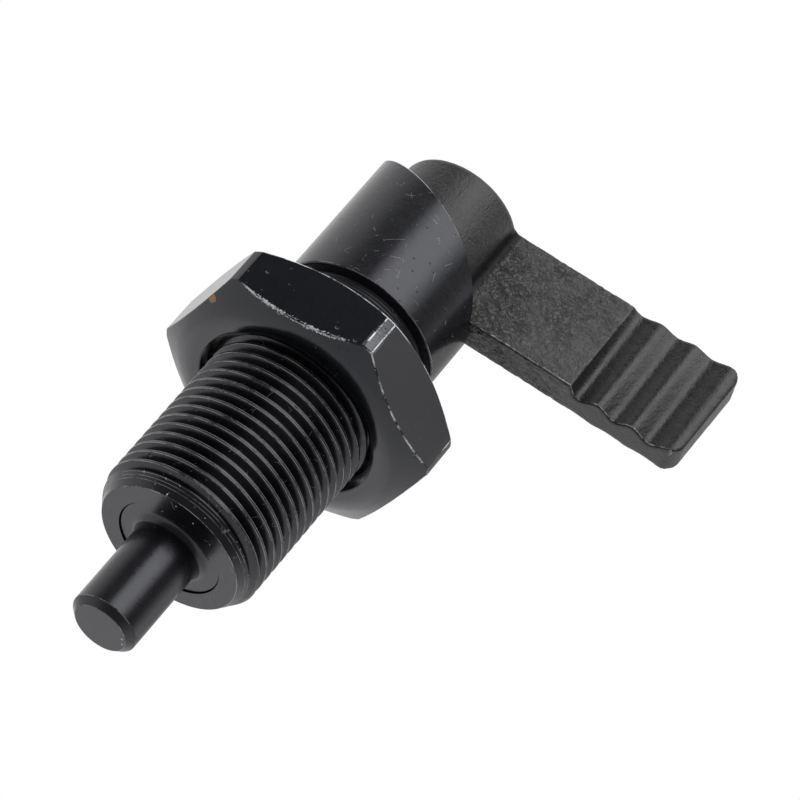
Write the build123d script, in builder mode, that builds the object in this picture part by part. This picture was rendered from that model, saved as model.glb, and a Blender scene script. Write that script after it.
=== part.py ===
from build123d import *
from math import ceil, radians, sqrt, tan
import os

# Cam-action indexing plunger, in millimetres.
# +Z runs along the axis towards the pin's nose, and +X along the lever arm at rest.
# The origin is on the axis, in the plane of the lock nut's front face, where the plate
# that the sleeve is screwed into bears on the nut.

os.makedirs("parts", exist_ok=True)

# --- driving dimensions ---------------------------------------------------------------
# Sleeve
THREAD_D = 20.0            # outside diameter of the M20 x 1.5 thread, right-handed
THREAD_PITCH = 1.5
THREAD_DEPTH = 0.9
CREST_WIDTH = 0.3
CREST_Z = 0.65             # height of the middle of a crest above +X
FLANK_ANGLE = 30.0         # from a flank to the plane across the axis
COLLAR_D = 20.1            # plain rear part of the sleeve
FRONT_Z = 22.3             # front face of the sleeve
SHOULDER_Z = -13.9         # step where the collar starts
LEAD_IN_DEPTH = 1.35       # cone that starts the thread: depth across the axis
LEAD_IN_LENGTH = 2.2       # and length along it
RELIEF_D = 17.8            # thread relief between the shoulder and the thread
RELIEF_LENGTH = 2.6
RUNOUT_CHAMFER = 0.8       # where the thread runs out into the relief
COLLAR_CHAMFER = 0.15
WEB_FRONT_Z = -11.7        # wall inside the sleeve that the spring bears on
WEB_LENGTH = 6.0

# Cam on the sleeve's rear rim, the same on both sides of the arm
HALF_TURN_LIFT = 14.38     # how far the ramp climbs in half a turn
RAMP_START_Z = -20.93      # height of the ramp's ridge, carried back to the arm's middle
SEAT_Z = -21.86            # flat seat just ahead of the arm at rest
RAMP_DISH = 0.6            # the ramp's inner edge lies this much deeper than its ridge
RIM_BREAK = 0.12           # broken outer edge

# Plunger pin
PIN_D = 8.0                # nose and stem
PIN_REACH = 12.7           # how far the nose stands out of the sleeve
PIN_CHAMFER = 0.8
GUIDE_D = 12.7             # thick part that runs in the sleeve's front bore
GUIDE_LENGTH = 8.0
GUIDE_SETBACK = 0.2        # the guide's shoulder lies this far behind the front face
GUIDE_CHAMFER = 0.35
ROOT_FILLET = 0.9          # between the nose and the guide
STEM_END_Z = -33.0
STEM_CHAMFER = 0.5
RUNNING_GAP = 0.06         # radial clearance of what slides or turns in another piece

# Lever, one casting
BOSS_D = 15.0
BOSS_FRONT_Z = -19.2
BOSS_FILLET = 0.6
BOSS_CHAMFER = 0.5
LEVER_REAR_Z = -36.0       # rear end of the boss and rear edge of the arm
ARM_FRONT_Z = -21.96
ARM_THICKNESS = 4.06
ARM_REACH = 37.4           # from the axis to the arm's tip, at the rear edge
TIP_SLANT = 0.3            # the tip is this much shorter at the front edge
FRONT_CORNER = 1.7         # round corners of the tip
REAR_CORNER = 1.5
ARM_ROOT_FILLET = 0.6
GRIP_START = 23.0          # where the arm's flat ends and its finger ridges begin
RIDGES = 3
RIDGE_PITCH = 4.4
FIRST_VALLEY = 1.6         # from the flat's end to the bottom of the first valley
VALLEY_TO_RIDGE = 2.1
TIP_DROP = 0.35            # how far the last ridge has fallen at the tip
RIDGE_REAR = 2.0           # ridge and valley above the arm's middle plane, rear edge
VALLEY_REAR = 1.4
RIDGE_FRONT = 1.5          # the same at the front edge, where the grip slopes away
VALLEY_FRONT = 0.5
BACK_RIDGE = 2.15          # the shallow ridges of the other face
BACK_VALLEY = 1.95
STEM_BORE_SPARE = 0.4      # room left behind the stem in its blind bore

# Spring pin through the boss and the stem
CROSS_PIN_D = 3.0
CROSS_PIN_LENGTH = 14.0
CROSS_PIN_Z = -25.2
CROSS_PIN_BORE_D = 1.8
CROSS_PIN_SLOT = 0.6

# Lock nut
NUT_ACROSS_FLATS = 30.0
NUT_CORNER_D = 34.0        # the corners are turned down to this diameter
NUT_LENGTH = 9.0
NUT_TURN = 7.7             # angle from +X to a corner of the nut
NUT_FACE_D = 26.8          # the chamfers start at this diameter
NUT_CORNER_DROP = 2.1      # and are this deep at the corners
NUT_MOUTH_D = 22.6         # countersunk mouth of the nut's thread

# Compression spring
WIRE_D = 1.2
COIL_D = 10.8              # mean diameter
COIL_TURNS = 7.5
SPRING_GAP = 0.05          # the ground ends stand this far off what they bear on

# --- values worked out from them ------------------------------------------------------
OVERRUN = 3.0              # how far a cutter runs past what it cuts
GROOVE_OVERRUN = 0.15      # the same for the thread's groove
CUTTER_TURNS = 6           # length of the thread cutter
collar_r = COLLAR_D / 2
crest_z = RAMP_START_Z - HALF_TURN_LIFT
web_rear_z = WEB_FRONT_Z - WEB_LENGTH
front_bore_r = GUIDE_D / 2 + RUNNING_GAP
stem_hole_r = PIN_D / 2 + RUNNING_GAP
rear_bore_r = BOSS_D / 2 + RUNNING_GAP
pin_tip_z = FRONT_Z + PIN_REACH
guide_front_z = FRONT_Z - GUIDE_SETBACK
guide_rear_z = guide_front_z - GUIDE_LENGTH


# --- cutter for the thread: a few turns of its groove, used again and again ------------
flank_slope = tan(radians(FLANK_ANGLE))
mouth_width = THREAD_PITCH - CREST_WIDTH
root_width = mouth_width - 2 * THREAD_DEPTH * flank_slope
cutter_width = mouth_width + 2 * GROOVE_OVERRUN * flank_slope
cutter_length = CUTTER_TURNS * THREAD_PITCH
# The groove starts behind the thread, halfway between two crests, and ends in front of it.
thread_start_z = SHOULDER_Z + RELIEF_LENGTH
turns_behind = ceil((CREST_Z - thread_start_z) / THREAD_PITCH) + 1
groove_start_z = CREST_Z + THREAD_PITCH * (0.5 - turns_behind)
cut_count = ceil((FRONT_Z + THREAD_PITCH - groove_start_z) / cutter_length)

with BuildPart() as thread_cutter:
    with BuildLine(Plane.XY.offset(groove_start_z)):
        groove_path = Helix(THREAD_PITCH, cutter_length, THREAD_D / 2)
    with BuildSketch(Plane(origin=groove_path @ 0, x_dir=(1, 0, 0), z_dir=groove_path % 0)):
        with BuildLine():
            Polyline(
                (-THREAD_DEPTH, -root_width / 2),
                (GROOVE_OVERRUN, -cutter_width / 2),
                (GROOVE_OVERRUN, cutter_width / 2),
                (-THREAD_DEPTH, root_width / 2),
                close=True,
            )
        make_face()
    sweep(path=groove_path, is_frenet=True)

# --- threaded bar: the groove runs past both ends, and then the ends are turned --------
bar_rear_z = groove_start_z - OVERRUN
bar_front_z = groove_start_z + cut_count * cutter_length + OVERRUN
lead_in_slope = LEAD_IN_LENGTH / LEAD_IN_DEPTH
with BuildPart() as threaded_bar:
    with BuildSketch(Plane.XY.offset(bar_rear_z)):
        Circle(THREAD_D / 2)
    extrude(amount=bar_front_z - bar_rear_z)
    for i in range(cut_count):
        with Locations((0, 0, i * cutter_length)):
            add(thread_cutter.part, mode=Mode.SUBTRACT)
    with BuildSketch(Plane.XZ):
        with BuildLine():
            Polyline(
                (0, thread_start_z),
                (THREAD_D / 2 - RUNOUT_CHAMFER, thread_start_z),
                (THREAD_D / 2 + OVERRUN, thread_start_z + RUNOUT_CHAMFER + OVERRUN),
                (THREAD_D / 2 + OVERRUN, FRONT_Z - LEAD_IN_LENGTH - OVERRUN * lead_in_slope),
                (THREAD_D / 2 - LEAD_IN_DEPTH, FRONT_Z),
                (0, FRONT_Z),
                close=True,
            )
        make_face()
    revolve(axis=Axis.Z, mode=Mode.INTERSECT)

# --- cutter for the cam: everything behind the ramp -----------------------------------
ridge_r = collar_r - RIM_BREAK
dish_slope = RAMP_DISH / (ridge_r - rear_bore_r)
cutter_in_r = rear_bore_r - 1
cutter_out_r = collar_r + 1
cutter_in_z = crest_z + dish_slope * (ridge_r - cutter_in_r)
cutter_out_z = crest_z + (cutter_out_r - ridge_r)
cutter_rear_z = crest_z - HALF_TURN_LIFT - OVERRUN

with BuildPart() as cam_cutter:
    # The path climbs half a turn from the crest, opposite the arm, to under the arm.
    with BuildLine(Plane(origin=(0, 0, crest_z), x_dir=(-1, 0, 0), z_dir=(0, 0, 1))):
        ramp_path = Helix(2 * HALF_TURN_LIFT, HALF_TURN_LIFT, ridge_r)
    with BuildSketch(Plane.XZ) as ramp_section:
        with BuildLine():
            Polyline(
                (-cutter_in_r, cutter_in_z),
                (-ridge_r, crest_z),
                (-cutter_out_r, cutter_out_z),
                (-cutter_out_r, cutter_rear_z),
                (-cutter_in_r, cutter_rear_z),
                close=True,
            )
        make_face()
    sweep(path=ramp_path, is_frenet=True)
    mirror(about=Plane.XZ)
    split(bisect_by=Plane.XY.offset(SEAT_Z), keep=Keep.BOTTOM)

# --- sleeve ---------------------------------------------------------------------------
with BuildPart() as threaded_body:
    with BuildSketch(Plane.XY.offset(crest_z)):
        Circle(collar_r)
    extrude(amount=SHOULDER_Z - crest_z)
    chamfer(threaded_body.edges().sort_by(Axis.Z)[-1], COLLAR_CHAMFER)
    with BuildSketch(Plane.XY.offset(SHOULDER_Z)):
        Circle(RELIEF_D / 2)
    extrude(amount=RELIEF_LENGTH)
    add(threaded_bar.part)
    # Bores: the guide and the spring in front of the web, the boss behind it
    with BuildSketch(Plane.XY.offset(FRONT_Z)):
        Circle(front_bore_r)
    extrude(amount=WEB_FRONT_Z - FRONT_Z, mode=Mode.SUBTRACT)
    with BuildSketch(Plane.XY.offset(WEB_FRONT_Z)):
        Circle(stem_hole_r)
    extrude(amount=-WEB_LENGTH, mode=Mode.SUBTRACT)
    with BuildSketch(Plane.XY.offset(web_rear_z)):
        Circle(rear_bore_r)
    extrude(amount=crest_z - web_rear_z, mode=Mode.SUBTRACT)
    add(cam_cutter.part, mode=Mode.SUBTRACT)

threaded_body.part.label = "threaded_body"
export_step(threaded_body.part, "parts/threaded_body.step")

# --- plunger pin ----------------------------------------------------------------------
with BuildPart() as plunger_pin:
    with BuildSketch(Plane.XY.offset(guide_rear_z)):
        Circle(GUIDE_D / 2)
    extrude(amount=GUIDE_LENGTH)
    chamfer(plunger_pin.edges().filter_by(GeomType.CIRCLE), GUIDE_CHAMFER)
    with BuildSketch(Plane.XY.offset(STEM_END_Z)):
        Circle(PIN_D / 2)
    extrude(amount=pin_tip_z - STEM_END_Z)
    round_edges = plunger_pin.edges().filter_by(GeomType.CIRCLE)
    chamfer(round_edges.sort_by(Axis.Z)[-1], PIN_CHAMFER)
    chamfer(round_edges.sort_by(Axis.Z)[0], STEM_CHAMFER)
    guide_face = plunger_pin.faces().filter_by(Plane.XY).sort_by(Axis.Z)[-2]
    fillet(guide_face.edges().sort_by(SortBy.RADIUS)[0], ROOT_FILLET)
    with BuildSketch(Plane.XZ.offset(-BOSS_D)):
        with Locations((0, CROSS_PIN_Z)):
            Circle(CROSS_PIN_D / 2)
    extrude(amount=2 * BOSS_D, mode=Mode.SUBTRACT)

plunger_pin.part.label = "plunger_pin"
export_step(plunger_pin.part, "parts/plunger_pin.step")

# --- lever: boss and arm in one casting -----------------------------------------------
# The root fillet is an arc that touches the arm's side and the boss's round wall.
half_arm = ARM_THICKNESS / 2
fillet_y = half_arm + ARM_ROOT_FILLET
fillet_x = sqrt((BOSS_D / 2 + ARM_ROOT_FILLET) ** 2 - fillet_y**2)
touch = (BOSS_D / 2) / (BOSS_D / 2 + ARM_ROOT_FILLET)

with BuildPart() as lever:
    # The arm runs between its sections at the front edge and at the rear edge.
    for edge_z, ridge, valley in (
        (ARM_FRONT_Z, RIDGE_FRONT, VALLEY_FRONT),
        (LEVER_REAR_Z, RIDGE_REAR, VALLEY_REAR),
    ):
        face_wave = [(GRIP_START, half_arm)]
        back_wave = [(GRIP_START, -half_arm)]
        for i in range(RIDGES):
            valley_x = GRIP_START + FIRST_VALLEY + i * RIDGE_PITCH
            face_wave += [(valley_x, valley), (valley_x + VALLEY_TO_RIDGE, ridge)]
            back_wave += [(valley_x, -BACK_VALLEY), (valley_x + VALLEY_TO_RIDGE, -BACK_RIDGE)]
        face_wave.append((ARM_REACH, ridge - TIP_DROP))
        back_wave.append((ARM_REACH, TIP_DROP - BACK_RIDGE))
        with BuildSketch(Plane.XY.offset(edge_z)):
            with BuildLine():
                Line((0, fillet_y * touch), (fillet_x * touch, fillet_y * touch))
                RadiusArc((fillet_x * touch, fillet_y * touch), (fillet_x, half_arm), -ARM_ROOT_FILLET)
                Line((fillet_x, half_arm), face_wave[0])
                Spline(face_wave)
                Line(face_wave[-1], back_wave[-1])
                Spline(back_wave)
                Line(back_wave[0], (fillet_x, -half_arm))
                RadiusArc((fillet_x * touch, -fillet_y * touch), (fillet_x, -half_arm), ARM_ROOT_FILLET)
                Line((fillet_x * touch, -fillet_y * touch), (0, -fillet_y * touch))
                Line((0, -fillet_y * touch), (0, fillet_y * touch))
            make_face()
    loft(ruled=True)
    # Broad outline of the arm, with its round corners at the tip
    with BuildSketch(Plane.XZ.offset(-BOSS_D)) as arm_outline:
        with BuildLine():
            Polyline(
                (0, ARM_FRONT_Z),
                (ARM_REACH - TIP_SLANT, ARM_FRONT_Z),
                (ARM_REACH, LEVER_REAR_Z),
                (0, LEVER_REAR_Z),
                close=True,
            )
        make_face()
        fillet(arm_outline.vertices().group_by(Axis.Y)[-1].sort_by(Axis.X)[-1], FRONT_CORNER)
        fillet(arm_outline.vertices().group_by(Axis.Y)[0].sort_by(Axis.X)[-1], REAR_CORNER)
    extrude(amount=2 * BOSS_D, mode=Mode.INTERSECT)
    # Boss
    with BuildSketch(Plane.XZ) as boss_half:
        with Locations((0, LEVER_REAR_Z)):
            Rectangle(BOSS_D / 2, BOSS_FRONT_Z - LEVER_REAR_Z, align=(Align.MIN, Align.MIN))
        fillet(boss_half.vertices().group_by(Axis.X)[-1].sort_by(Axis.Y)[0], BOSS_FILLET)
        chamfer(boss_half.vertices().group_by(Axis.X)[-1].sort_by(Axis.Y)[-1], BOSS_CHAMFER)
    revolve(axis=Axis.Z)
    # Blind bore for the stem, and the hole of the spring pin
    with BuildSketch(Plane.XY.offset(BOSS_FRONT_Z)):
        Circle(PIN_D / 2)
    extrude(amount=STEM_END_Z - STEM_BORE_SPARE - BOSS_FRONT_Z, mode=Mode.SUBTRACT)
    with BuildSketch(Plane.XZ.offset(-BOSS_D)):
        with Locations((0, CROSS_PIN_Z)):
            Circle(CROSS_PIN_D / 2)
    extrude(amount=2 * BOSS_D, mode=Mode.SUBTRACT)

lever.part.label = "lever"
export_step(lever.part, "parts/lever.step")

# --- spring pin: a slotted tube through the boss and the stem --------------------------
with BuildPart() as cross_pin:
    with BuildSketch(Plane.XZ.offset(-CROSS_PIN_LENGTH / 2)):
        with Locations((0, CROSS_PIN_Z)):
            Circle(CROSS_PIN_D / 2)
            Circle(CROSS_PIN_BORE_D / 2, mode=Mode.SUBTRACT)
            Rectangle(CROSS_PIN_SLOT, CROSS_PIN_D, align=(Align.CENTER, Align.MIN), mode=Mode.SUBTRACT)
    extrude(amount=CROSS_PIN_LENGTH)

cross_pin.part.label = "cross_pin"
export_step(cross_pin.part, "parts/cross_pin.step")

# --- lock nut -------------------------------------------------------------------------
nut_bore_r = THREAD_D / 2 + RUNNING_GAP
with BuildPart() as lock_nut:
    with BuildSketch(Plane.XY.offset(-NUT_LENGTH)) as hexagon:
        RegularPolygon(NUT_ACROSS_FLATS / 2, 6, major_radius=False, rotation=NUT_TURN)
    extrude(amount=NUT_LENGTH)
    # Turned profile that rounds the corners and chamfers both faces
    with BuildSketch(Plane.XZ):
        with BuildLine():
            Polyline(
                (0, 0),
                (NUT_FACE_D / 2, 0),
                (NUT_CORNER_D / 2, -NUT_CORNER_DROP),
                (NUT_CORNER_D / 2, NUT_CORNER_DROP - NUT_LENGTH),
                (NUT_FACE_D / 2, -NUT_LENGTH),
                (0, -NUT_LENGTH),
                close=True,
            )
        make_face()
    revolve(axis=Axis.Z, mode=Mode.INTERSECT)
    with BuildSketch(Plane.XY):
        Circle(nut_bore_r)
    extrude(amount=-NUT_LENGTH, mode=Mode.SUBTRACT)
    bore_edges = lock_nut.edges().filter_by(GeomType.CIRCLE).filter_by(
        lambda edge: abs(edge.radius - nut_bore_r) < 0.01
    )
    chamfer(bore_edges, NUT_MOUTH_D / 2 - nut_bore_r)

lock_nut.part.label = "lock_nut"
export_step(lock_nut.part, "parts/lock_nut.step")

# --- compression spring, with flat ground ends ----------------------------------------
spring_front_z = guide_rear_z - SPRING_GAP
spring_rear_z = WEB_FRONT_Z + SPRING_GAP
coil_rise = spring_front_z - spring_rear_z
coil_pitch = coil_rise / COIL_TURNS
with BuildPart() as compression_spring:
    with BuildLine(Plane.XY.offset(spring_rear_z)):
        coil_path = Helix(coil_pitch, coil_rise, COIL_D / 2)
    with BuildSketch(Plane(origin=coil_path @ 0, z_dir=coil_path % 0)):
        Circle(WIRE_D / 2)
    sweep(path=coil_path, is_frenet=True)
    split(bisect_by=Plane.XY.offset(spring_rear_z), keep=Keep.TOP)
    split(bisect_by=Plane.XY.offset(spring_front_z), keep=Keep.BOTTOM)

compression_spring.part.label = "compression_spring"
export_step(compression_spring.part, "parts/compression_spring.step")
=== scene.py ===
# %% [markdown]
# # A cam-action indexing plunger
#
# The CAD model of this plunger is already packed: a threaded sleeve, a pin, a spring, a lever,
# a cross pin and a lock nut. This lesson gives it its looks in Blender: the real thread, the
# turned and worn black-oxide steel, and the rough skin of the cast lever.
#
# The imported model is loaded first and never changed. Each new piece is built round it, in the
# same frame: metres, +Z towards the pin's nose, +X along the lever's arm. The plunger's own
# sizes are written in millimetres, and MM turns them into metres.

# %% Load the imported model
import math

import bmesh
import bpy
from mathutils import Matrix, Vector


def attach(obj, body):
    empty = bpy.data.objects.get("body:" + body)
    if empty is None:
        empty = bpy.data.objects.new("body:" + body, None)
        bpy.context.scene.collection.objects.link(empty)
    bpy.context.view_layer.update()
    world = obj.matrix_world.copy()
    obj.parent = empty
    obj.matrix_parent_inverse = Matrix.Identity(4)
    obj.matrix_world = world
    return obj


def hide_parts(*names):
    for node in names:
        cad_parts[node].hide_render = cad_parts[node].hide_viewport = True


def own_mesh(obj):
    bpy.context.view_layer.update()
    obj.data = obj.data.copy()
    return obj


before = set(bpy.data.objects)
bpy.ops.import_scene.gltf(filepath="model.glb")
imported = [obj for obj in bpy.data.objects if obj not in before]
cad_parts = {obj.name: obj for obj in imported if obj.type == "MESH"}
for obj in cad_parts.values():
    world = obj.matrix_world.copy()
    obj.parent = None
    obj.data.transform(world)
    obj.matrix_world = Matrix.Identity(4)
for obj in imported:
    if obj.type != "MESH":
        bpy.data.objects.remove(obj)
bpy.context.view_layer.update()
MM = 0.001

# %% [markdown]
# ## The camera
#
# A long lens from half a metre gives a product picture its calm, nearly parallel lines. The
# camera is turned about its own view, so the plunger lies across the picture. A camera looks
# along its own -Z, so its three axes are written down as the columns of a matrix.

# %% Camera
RIGHT = Vector((0.8271, 0.1668, -0.5367))
UP = Vector((-0.5269, 0.5629, -0.6369))
BACK = RIGHT.cross(UP)
CAMERA_PLACE = Vector((105.1, 397.9, 262.4)) * MM
SENSOR_WIDTH, FOCAL_LENGTH = 36.0, 202.5


def linked(name, data):
    """A new object for some data, put into the scene."""
    made = bpy.data.objects.new(name, data)
    bpy.context.scene.collection.objects.link(made)
    return made


lens = bpy.data.cameras.new("product camera")
lens.sensor_width = SENSOR_WIDTH
lens.lens = FOCAL_LENGTH
lens.clip_start, lens.clip_end = 0.05, 20.0
camera = linked("product camera", lens)
turn = Matrix((RIGHT, UP, BACK)).transposed().to_4x4()
camera.matrix_world = Matrix.Translation(CAMERA_PLACE) @ turn
bpy.context.scene.camera = camera
bpy.context.scene.view_settings.view_transform = "Standard"
print("camera at", [round(v, 3) for v in CAMERA_PLACE])

# %% [markdown]
# ## Helpers for nodes
#
# Materials, the world and Geometry Nodes are all node trees, so the same helpers build them.
# One adds a node and fills its inputs with values or with links. The others are the sums that
# come up most: a product, a point's coordinates, a distance or a dot product, and a change of
# range, either of plain values or over a stretch in millimetres.

# %% Node helpers
def add(tree, kind, inputs=None, **settings):
    """Adds a node to a tree. An input may be a plain value or the output of another node."""
    made = tree.nodes.new(kind)
    for name, value in settings.items():
        setattr(made, name, value)
    for name, value in (inputs or {}).items():
        if isinstance(value, bpy.types.NodeSocket):
            tree.links.new(value, made.inputs[name])
        else:
            made.inputs[name].default_value = value
    return made


def calc(tree, operation, *values):
    """A Math node, and the output that holds its result."""
    made = add(tree, "ShaderNodeMath", dict(enumerate(values)), operation=operation)
    return made.outputs[0]


def product(tree, first, *others):
    """The product of two or more values."""
    for other in others:
        first = calc(tree, "MULTIPLY", first, other)
    return first


def xyz(tree, place):
    """The three coordinates of a point, by their names."""
    return add(tree, "ShaderNodeSeparateXYZ", {0: place}).outputs


def measured(tree, operation, first, second):
    """The number that two vectors give, such as their distance or their dot product."""
    made = add(tree, "ShaderNodeVectorMath", {0: first, 1: second}, operation=operation)
    return made.outputs["Value"]


def between(tree, value, low, high, result_low=0.0, result_high=1.0):
    """Maps a value from one range to another and stops at the ends."""
    inputs = {0: value, 1: low, 2: high, 3: result_low, 4: result_high}
    return add(tree, "ShaderNodeMapRange", inputs).outputs[0]


def over(tree, value, stretch_mm, first=0.0, last=1.0):
    """Goes from one level to another while a coordinate passes over a stretch given in mm."""
    start, end = stretch_mm
    return between(tree, value, start * MM, end * MM, first, last)


print("node helpers:", [made.__name__ for made in (add, calc, product, xyz, measured, between, over)])

# %% [markdown]
# ## The studio
#
# Black steel shows almost nothing of its own colour. What the eye sees is the room in it: a
# large soft lamp as a broad bright band, the white table as the pale edges, and the dark room
# behind the lamp as the black between them. So the room is what has to be right.
#
# The background is white because camera rays find white there, and not because more light
# falls on the plunger. Reflections see the same white up to the height of the table's far
# edge, and fade to a darker room above it. Under the plunger they see a darker table, because
# the plunger shades it.

# %% World
WHITE = (1, 1, 1, 1)
TABLE_UP = (0.30, 0.954, 0.0)  # what was up in the room, with the plunger lying on its side
TABLE_EDGE = 0.42              # heights go from 0, straight down, to 1, straight up
FADING = ((0.54, 0.82), (0.62, 0.5), (0.68, 0.24))  # (height, grey)
DARK_FROM, DARK_ROOM = 0.73, (0.17, 0.17, 0.18, 1)
UNDER = (0.21, -0.78, -0.59)   # where the plunger shades the table
SHADE_EDGE, SHADE_CORE = 0.80, 0.95
SHADED = 0.5
PLAIN_LIGHT = 0.55             # world light on rough surfaces

world = bpy.data.worlds.new("studio")
bpy.context.scene.world = world
world.use_nodes = True
room = world.node_tree
room.nodes.clear()
rays = add(room, "ShaderNodeLightPath").outputs
direction = add(room, "ShaderNodeTexCoord").outputs["Generated"]
height = measured(room, "DOT_PRODUCT", direction, TABLE_UP)
walls = add(room, "ShaderNodeValToRGB", {"Fac": calc(room, "MULTIPLY_ADD", height, 0.5, 0.5)})
bands = walls.color_ramp
bands.elements[0].position, bands.elements[0].color = TABLE_EDGE, WHITE
bands.elements[1].position, bands.elements[1].color = DARK_FROM, DARK_ROOM
for position, grey in FADING:
    bands.elements.new(position).color = (grey, grey, grey, 1)
under = measured(room, "DOT_PRODUCT", direction, UNDER)
dimmed = between(room, under, SHADE_EDGE, SHADE_CORE, 1.0, SHADED)
plain = add(room, "ShaderNodeBackground", {"Color": WHITE, "Strength": PLAIN_LIGHT}).outputs[0]
seen = add(room, "ShaderNodeBackground", {"Color": walls.outputs["Color"], "Strength": dimmed}).outputs[0]
white = add(room, "ShaderNodeBackground", {"Color": WHITE, "Strength": 1.0}).outputs[0]
glossy = add(room, "ShaderNodeMixShader", {0: rays["Is Glossy Ray"], 1: plain, 2: seen}).outputs[0]
straight = calc(room, "MAXIMUM", rays["Is Camera Ray"], rays["Is Transmission Ray"])
backdrop = add(room, "ShaderNodeMixShader", {0: straight, 1: glossy, 2: white}).outputs[0]
add(room, "ShaderNodeOutputWorld", {"Surface": backdrop})
print("world:", len(room.nodes), "nodes")

# %% [markdown]
# ## The lamps
#
# A softbox is brightest in its middle and fades towards its edges, and black steel shows that
# plainly. An area lamp has one level all over, so the big softbox is made of four panels that
# overlap. Each goes from one azimuth to another, as seen from the plunger. A weak lamp behind
# keeps the far side from going quite black.

# %% Soft lamps
WATTS = 4                 # per square metre, for a lamp that looks as bright as white paper
SOFTBOX_ELEVATION = -33
SOFTBOX_DISTANCE = 0.55
PANEL_HEIGHT = 0.46
PANELS = ((38, 104, 0.7), (46, 101, 0.8), (55, 94, 0.75), (65, 84, 0.35))  # (start, end, level)


def softbox(name, azimuth, elevation, distance, width, height, level):
    """A rectangular lamp that faces the plunger. Level 1 is as bright as white paper."""
    lamp = bpy.data.lights.new(name, "AREA")
    lamp.shape = "RECTANGLE"
    lamp.size, lamp.size_y = width, height
    lamp.energy = level * WATTS * width * height
    turn, rise = math.radians(azimuth), math.radians(elevation)
    away = Vector((math.cos(rise) * math.cos(turn), math.cos(rise) * math.sin(turn), math.sin(rise)))
    box = linked(name, lamp)
    box.location = away * distance
    box.rotation_mode = "QUATERNION"
    box.rotation_quaternion = away.to_track_quat("Z", "Y")
    box.visible_camera = False


ground_distance = SOFTBOX_DISTANCE * math.cos(math.radians(SOFTBOX_ELEVATION))
for number, (start, end, level) in enumerate(PANELS):
    middle = (start + end) / 2
    width = 2 * ground_distance * math.tan(math.radians((end - start) / 2))
    softbox(f"panel {number}", middle, SOFTBOX_ELEVATION, SOFTBOX_DISTANCE, width, PANEL_HEIGHT, level)
softbox("back fill", azimuth=-105, elevation=30, distance=0.60, width=0.45, height=0.40, level=0.12)

# %% [markdown]
# ## The floor
#
# The plunger is held by its thread, so it rests on nothing, and the pale floor lies well below
# it. The floor takes light and shadow like white paper. Camera and glossy rays see a little
# more white in it, so that it runs into the backdrop without an edge.

# %% Floor
FLOOR_DEPTH = 0.42
FLOOR_RADIUS = 0.5
PAPER = (0.8, 0.8, 0.8, 1)
PAPER_GLOW = 0.7

paper = bpy.data.materials.new("white paper")
paper.use_nodes = True
sheet = paper.node_tree
sheet.nodes.clear()
sheet_rays = add(sheet, "ShaderNodeLightPath").outputs
matt = add(sheet, "ShaderNodeBsdfDiffuse", {"Color": PAPER}).outputs[0]
glow = add(sheet, "ShaderNodeEmission", {"Color": WHITE, "Strength": PAPER_GLOW}).outputs[0]
clear = calc(sheet, "MAXIMUM", sheet_rays["Is Camera Ray"], sheet_rays["Is Glossy Ray"])
lifted = add(sheet, "ShaderNodeAddShader", {0: matt, 1: glow}).outputs[0]
paper_mix = add(sheet, "ShaderNodeMixShader", {0: clear, 1: matt, 2: lifted}).outputs[0]
add(sheet, "ShaderNodeOutputMaterial", {"Surface": paper_mix})

bpy.ops.mesh.primitive_circle_add(
    vertices=96, radius=FLOOR_RADIUS, fill_type="NGON", location=(0, 0, -FLOOR_DEPTH),
)
floor = bpy.context.object
floor.name = "floor"
floor.data.materials.append(paper)
print("floor", FLOOR_DEPTH, "m below the nut's face")

# %% [markdown]
# ## Turned pieces
#
# A lathe makes the sleeve and the pin: a flat profile, spun about the axis. A modifier could
# spin it too, but a short loop also lets the profile change with the angle, which the sleeve's
# cam needs. Points that fall together, as they do on the axis, are merged into one.

# %% Spinning a profile
SHARP_ANGLE = 12    # degrees
MERGE_GAP = 1e-7    # metres


def piece(name, mesh, materials):
    """An object for a finished mesh, smooth except where its faces meet at a sharp angle."""
    made = linked(name, mesh)
    while len(mesh.materials) < len(materials):
        mesh.materials.append(None)
    for place, material in enumerate(materials):
        mesh.materials[place] = material
    mesh.shade_smooth()
    mesh.set_sharp_from_angle(angle=math.radians(SHARP_ANGLE))
    return made


def spun(name, profile_at, columns, closed=True):
    """Spins a profile of (radius, height) in mm. A third number at a point is the material slot
    of the band that starts there."""
    form = bmesh.new()
    rings = []
    for step in range(columns):
        angle = 2 * math.pi * step / columns
        rings.append([
            form.verts.new((r * math.cos(angle) * MM, r * math.sin(angle) * MM, z * MM))
            for r, z, *slot in profile_at(angle)
        ])
    rows = len(rings[0])
    slots = [point[2] if len(point) > 2 else 0 for point in profile_at(0)]
    for step in range(columns):
        here, there = rings[step], rings[(step + 1) % columns]
        for row in range(rows if closed else rows - 1):
            after = (row + 1) % rows
            face = form.faces.new((here[row], there[row], there[after], here[after]))
            face.material_index = slots[row]
    bmesh.ops.remove_doubles(form, verts=form.verts, dist=MERGE_GAP)
    bmesh.ops.recalc_face_normals(form, faces=form.faces)
    mesh = bpy.data.meshes.new(name)
    form.to_mesh(mesh)
    form.free()
    return mesh


print("turning helpers:", [made.__name__ for made in (piece, spun)])

# %% [markdown]
# ## Steel and its grain
#
# Every steel here starts from the same three things: a Principled shader, the piece's own
# coordinates, and noise of a stated size in millimetres. Colours and roughness follow the noise
# through a change of range, and bump nodes are stacked, so that fine relief sits on coarse.
#
# A lathe's marks are rings. They are noise that is read at (radius, height) in place of
# (x, y, z), so they run round the piece on flat faces and on round walls alike.

# %% Shared parts of a metal
IOR = 1.5
NOISE_SPAN = (0.3, 0.7)  # nearly all of a noise lies between these


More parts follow.
